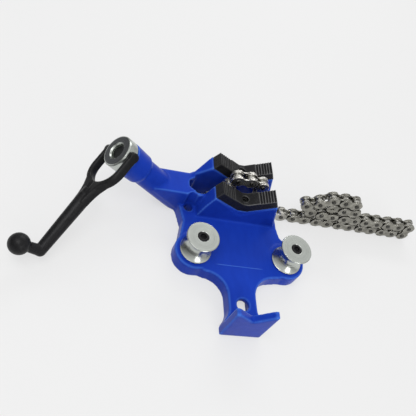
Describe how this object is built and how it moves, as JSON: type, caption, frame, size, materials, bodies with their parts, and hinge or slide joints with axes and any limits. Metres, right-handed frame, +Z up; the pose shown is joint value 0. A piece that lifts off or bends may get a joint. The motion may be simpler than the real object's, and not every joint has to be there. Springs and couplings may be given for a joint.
{
  "type": "chain pipe vise",
  "caption": "Bench chain pipe vise: blue cast base with toothed V jaws, a draw screw and crank in a slanted arm, a roller chain, two bending rollers and a front pipe rest.",
  "frame": {"origin": "on the bench plane, under the roller line, in the plane through the point of the jaws' V", "axes": "+X from the crank side towards the free chain, +Y along the clamped pipe from the pipe rest to the jaws, +Z up from the bench"},
  "size_m": [0.5761, 0.2519, 0.1021],
  "materials": {
    "blue_paint": "gloss",
    "black_oxide": "satin",
    "turned_steel": "satin",
    "chain_steel": "oiled"
  },
  "bodies": {
    "base": {"base_casting": "blue_paint", "front_jaw": "black_oxide", "rear_jaw": "black_oxide", "front_jaw_screw": "black_oxide", "rear_jaw_screw": "black_oxide", "left_roller_bolt": "black_oxide", "right_roller_bolt": "black_oxide", "left_roller_nut": "turned_steel", "right_roller_nut": "turned_steel", "thrust_washer": "turned_steel", "screw_key": "black_oxide"},
    "left_roller": {"left_roller": "turned_steel"},
    "right_roller": {"right_roller": "turned_steel"},
    "nut": {"crank_nut": "turned_steel", "crank_pivot_pins": "black_oxide"},
    "crank": {"crank_handle": "black_oxide"},
    "screw": {"draw_screw": "turned_steel"},
    "link_01": {"chain_link_01": "chain_steel"},
    "link_02": {"chain_link_02": "chain_steel"},
    "link_03": {"chain_link_03": "chain_steel"},
    "link_04": {"chain_link_04": "chain_steel"},
    "link_05": {"chain_link_05": "chain_steel"},
    "link_06": {"chain_link_06": "chain_steel"},
    "link_07": {"chain_link_07": "chain_steel"},
    "link_08": {"chain_link_08": "chain_steel"},
    "link_09": {"chain_link_09": "chain_steel"},
    "link_10": {"chain_link_10": "chain_steel"},
    "link_11": {"chain_link_11": "chain_steel"},
    "link_12": {"chain_link_12": "chain_steel"},
    "link_13": {"chain_link_13": "chain_steel"},
    "link_14": {"chain_link_14": "chain_steel"},
    "link_15": {"chain_link_15": "chain_steel"},
    "link_16": {"chain_link_16": "chain_steel"},
    "link_17": {"chain_link_17": "chain_steel"},
    "link_18": {"chain_link_18": "chain_steel"},
    "link_19": {"chain_link_19": "chain_steel"},
    "link_20": {"chain_link_20": "chain_steel"},
    "link_21": {"chain_link_21": "chain_steel"},
    "link_22": {"chain_link_22": "chain_steel"},
    "link_23": {"chain_link_23": "chain_steel"},
    "link_24": {"chain_link_24": "chain_steel"},
    "link_25": {"chain_link_25": "chain_steel"},
    "link_26": {"chain_link_26": "chain_steel"},
    "link_27": {"chain_link_27": "chain_steel"},
    "link_28": {"chain_link_28": "chain_steel"},
    "link_29": {"chain_link_29": "chain_steel"},
    "link_30": {"chain_link_30": "chain_steel"},
    "link_31": {"chain_link_31": "chain_steel"},
    "link_32": {"chain_link_32": "chain_steel"},
    "link_33": {"chain_link_33": "chain_steel"},
    "link_34": {"chain_link_34": "chain_steel"},
    "link_35": {"chain_link_35": "chain_steel"},
    "link_36": {"chain_link_36": "chain_steel"},
    "link_37": {"chain_link_37": "chain_steel"},
    "link_38": {"chain_link_38": "chain_steel"},
    "link_39": {"chain_link_39": "chain_steel"},
    "link_40": {"chain_link_40": "chain_steel"},
    "link_41": {"chain_link_41": "chain_steel"},
    "link_42": {"chain_link_42": "chain_steel"}
  },
  "joints": [
    {"name": "left_roller_spin", "type": "hinge", "parent": "base", "child": "left_roller", "pos_m": [-0.059, 0, 0.03], "axis": [0, 0, 1], "continuous": true},
    {"name": "right_roller_spin", "type": "hinge", "parent": "base", "child": "right_roller", "pos_m": [0.0676, 0, 0.03], "axis": [0, 0, 1], "continuous": true},
    {"name": "nut_spin", "type": "hinge", "parent": "base", "child": "nut", "pos_m": [-0.1744, 0.08605, 0.083], "axis": [0.7859, 0, -0.6184], "range_deg": [0, 2160]},
    {"name": "crank_fold", "type": "hinge", "parent": "nut", "child": "crank", "pos_m": [-0.16811, 0.08605, 0.07805], "axis": [0.4737, -0.6428, 0.602], "range_deg": [-30, 45]},
    {"name": "screw_slide", "type": "slide", "parent": "base", "child": "screw", "axis": [-0.7859, 0, 0.6184], "range_m": [0, 0.03]},
    {"name": "chain_pin_01", "type": "hinge", "parent": "screw", "child": "link_01", "pos_m": [-0.08796, 0.08605, 0.01498], "axis": [0, 1, 0], "range_deg": [0, 3]},
    {"name": "chain_pin_02", "type": "hinge", "parent": "link_01", "child": "link_02", "pos_m": [-0.06916, 0.08605, 0.0119], "axis": [0, 1, 0], "range_deg": [0, 3]},
    {"name": "chain_pin_03", "type": "hinge", "parent": "link_02", "child": "link_03", "pos_m": [-0.0503, 0.08605, 0.00921], "axis": [0, 1, 0], "range_deg": [0, 3]},
    {"name": "chain_pin_04", "type": "hinge", "parent": "link_03", "child": "link_04", "pos_m": [-0.03348, 0.08605, 0.01816], "axis": [0, -1, 0], "range_deg": [0, 8]},
    {"name": "chain_pin_05", "type": "hinge", "parent": "link_04", "child": "link_05", "pos_m": [-0.02338, 0.08605, 0.03431], "axis": [0, -1, 0], "range_deg": [0, 8]},
    {"name": "chain_pin_06", "type": "hinge", "parent": "link_05", "child": "link_06", "pos_m": [-0.01826, 0.08605, 0.05266], "axis": [0, -1, 0], "range_deg": [0, 8]},
    {"name": "chain_pin_07", "type": "hinge", "parent": "link_06", "child": "link_07", "pos_m": [-0.01346, 0.08605, 0.07109], "axis": [0, -1, 0], "range_deg": [0, 8]},
    {"name": "chain_pin_08", "type": "hinge", "parent": "link_07", "child": "link_08", "pos_m": [0.00559, 0.08605, 0.07163], "axis": [0, -1, 0], "range_deg": [0, 8]},
    {"name": "chain_pin_09", "type": "hinge", "parent": "link_08", "child": "link_09", "pos_m": [0.02391, 0.08605, 0.06641], "axis": [0, -1, 0], "range_deg": [0, 8]},
    {"name": "chain_pin_10", "type": "hinge", "parent": "link_09", "child": "link_10", "pos_m": [0.02725, 0.08605, 0.04765], "axis": [0, -1, 0], "range_deg": [0, 8]},
    {"name": "chain_pin_11", "type": "hinge", "parent": "link_10", "child": "link_11", "pos_m": [0.03108, 0.08605, 0.02899], "axis": [0, -1, 0], "range_deg": [0, 8]},
    {"name": "chain_pin_12", "type": "hinge", "parent": "link_11", "child": "link_12", "pos_m": [0.04092, 0.08605, 0.01268], "axis": [0, -1, 0], "range_deg": [0, 8]},
    {"name": "chain_pin_13", "type": "hinge", "parent": "link_12", "child": "link_13", "pos_m": [0.05962, 0.08605, 0.00908], "axis": [0, -1, 0], "range_deg": [0, 8]},
    {"name": "chain_pin_14", "type": "hinge", "parent": "link_13", "child": "link_14", "pos_m": [0.07866, 0.08605, 0.00841], "axis": [0, -1, 0], "range_deg": [0, 8]},
    {"name": "chain_pin_15", "type": "hinge", "parent": "link_14", "child": "link_15", "pos_m": [0.09771, 0.08605, 0.00851], "axis": [0, -1, 0], "range_deg": [0, 8]},
    {"name": "chain_pin_16", "type": "hinge", "parent": "link_15", "child": "link_16", "pos_m": [0.11676, 0.08605, 0.00851], "axis": [0, 1, 0], "range_deg": [0, 4]},
    {"name": "chain_pin_17", "type": "hinge", "parent": "link_16", "child": "link_17", "pos_m": [0.13581, 0.08605, 0.00851], "axis": [0, 1, 0], "range_deg": [0, 4]},
    {"name": "chain_pin_18", "type": "hinge", "parent": "link_17", "child": "link_18", "pos_m": [0.15486, 0.08605, 0.00851], "axis": [0, 1, 0], "range_deg": [0, 4]},
    {"name": "chain_pin_19", "type": "hinge", "parent": "link_18", "child": "link_19", "pos_m": [0.17391, 0.08605, 0.00851], "axis": [0, 1, 0], "range_deg": [0, 4]},
    {"name": "chain_pin_20", "type": "hinge", "parent": "link_19", "child": "link_20", "pos_m": [0.19296, 0.08605, 0.00851], "axis": [0, 1, 0], "range_deg": [0, 4]},
    {"name": "chain_pin_21", "type": "hinge", "parent": "link_20", "child": "link_21", "pos_m": [0.21201, 0.08605, 0.00851], "axis": [0, 1, 0], "range_deg": [0, 4]},
    {"name": "chain_pin_22", "type": "hinge", "parent": "link_21", "child": "link_22", "pos_m": [0.23106, 0.08605, 0.00851], "axis": [0, 1, 0], "range_deg": [0, 4]},
    {"name": "chain_pin_23", "type": "hinge", "parent": "link_22", "child": "link_23", "pos_m": [0.25011, 0.08605, 0.00851], "axis": [0, 1, 0], "range_deg": [0, 4]},
    {"name": "chain_pin_24", "type": "hinge", "parent": "link_23", "child": "link_24", "pos_m": [0.26916, 0.08605, 0.00851], "axis": [0, 1, 0], "range_deg": [0, 4]},
    {"name": "chain_pin_25", "type": "hinge", "parent": "link_24", "child": "link_25", "pos_m": [0.28821, 0.08605, 0.00851], "axis": [0, 1, 0], "range_deg": [0, 20]},
    {"name": "chain_pin_26", "type": "hinge", "parent": "link_25", "child": "link_26", "pos_m": [0.28752, 0.08605, 0.02755], "axis": [0, 1, 0], "range_deg": [0, 60]},
    {"name": "chain_pin_27", "type": "hinge", "parent": "link_26", "child": "link_27", "pos_m": [0.26847, 0.08605, 0.02742], "axis": [0, 1, 0], "range_deg": [0, 6]},
    {"name": "chain_pin_28", "type": "hinge", "parent": "link_27", "child": "link_28", "pos_m": [0.24943, 0.08605, 0.02659], "axis": [0, 1, 0], "range_deg": [0, 6]},
    {"name": "chain_pin_29", "type": "hinge", "parent": "link_28", "child": "link_29", "pos_m": [0.23039, 0.08605, 0.02599], "axis": [0, 1, 0], "range_deg": [0, 6]},
    {"name": "chain_pin_30", "type": "hinge", "parent": "link_29", "child": "link_30", "pos_m": [0.21135, 0.08605, 0.02569], "axis": [0, 1, 0], "range_deg": [0, 6]},
    {"name": "chain_pin_31", "type": "hinge", "parent": "link_30", "child": "link_31", "pos_m": [0.1923, 0.08605, 0.02559], "axis": [0, 1, 0], "range_deg": [0, 6]},
    {"name": "chain_pin_32", "type": "hinge", "parent": "link_31", "child": "link_32", "pos_m": [0.17325, 0.08605, 0.02559], "axis": [0, 1, 0], "range_deg": [0, 6]},
    {"name": "chain_pin_33", "type": "hinge", "parent": "link_32", "child": "link_33", "pos_m": [0.1542, 0.08605, 0.02559], "axis": [0, -1, 0], "range_deg": [0, 2]},
    {"name": "chain_pin_34", "type": "hinge", "parent": "link_33", "child": "link_34", "pos_m": [0.13517, 0.08605, 0.02659], "axis": [0, -1, 0], "range_deg": [0, 5]},
    {"name": "chain_pin_35", "type": "hinge", "parent": "link_34", "child": "link_35", "pos_m": [0.11628, 0.08605, 0.02901], "axis": [0, -1, 0], "range_deg": [0, 20]},
    {"name": "chain_pin_36", "type": "hinge", "parent": "link_35", "child": "link_36", "pos_m": [0.10267, 0.08605, 0.04233], "axis": [0, -1, 0], "range_deg": [0, 30]},
    {"name": "chain_pin_37", "type": "hinge", "parent": "link_36", "child": "link_37", "pos_m": [0.12001, 0.08605, 0.0502], "axis": [0, -1, 0], "range_deg": [0, 20]},
    {"name": "chain_pin_38", "type": "hinge", "parent": "link_37", "child": "link_38", "pos_m": [0.13517, 0.08605, 0.06175], "axis": [0, -1, 0], "range_deg": [0, 20]},
    {"name": "chain_pin_39", "type": "hinge", "parent": "link_38", "child": "link_39", "pos_m": [0.15421, 0.08605, 0.06231], "axis": [0, -1, 0], "range_deg": [0, 4]},
    {"name": "chain_pin_40", "type": "hinge", "parent": "link_39", "child": "link_40", "pos_m": [0.17315, 0.08605, 0.06029], "axis": [0, -1, 0], "range_deg": [0, 1.5]},
    {"name": "chain_pin_41", "type": "hinge", "parent": "link_40", "child": "link_41", "pos_m": [0.18162, 0.08605, 0.04323], "axis": [0, -1, 0], "range_deg": [0, 1]},
    {"name": "chain_pin_42", "type": "hinge", "parent": "link_41", "child": "link_42", "pos_m": [0.16257, 0.08605, 0.04359], "axis": [0, -1, 0], "range_deg": [0, 2]}
  ],
  "couplings": [
    {"joint": "screw_slide", "follows": "nut_spin", "m_per_rad": 0.00079577}
  ]
}
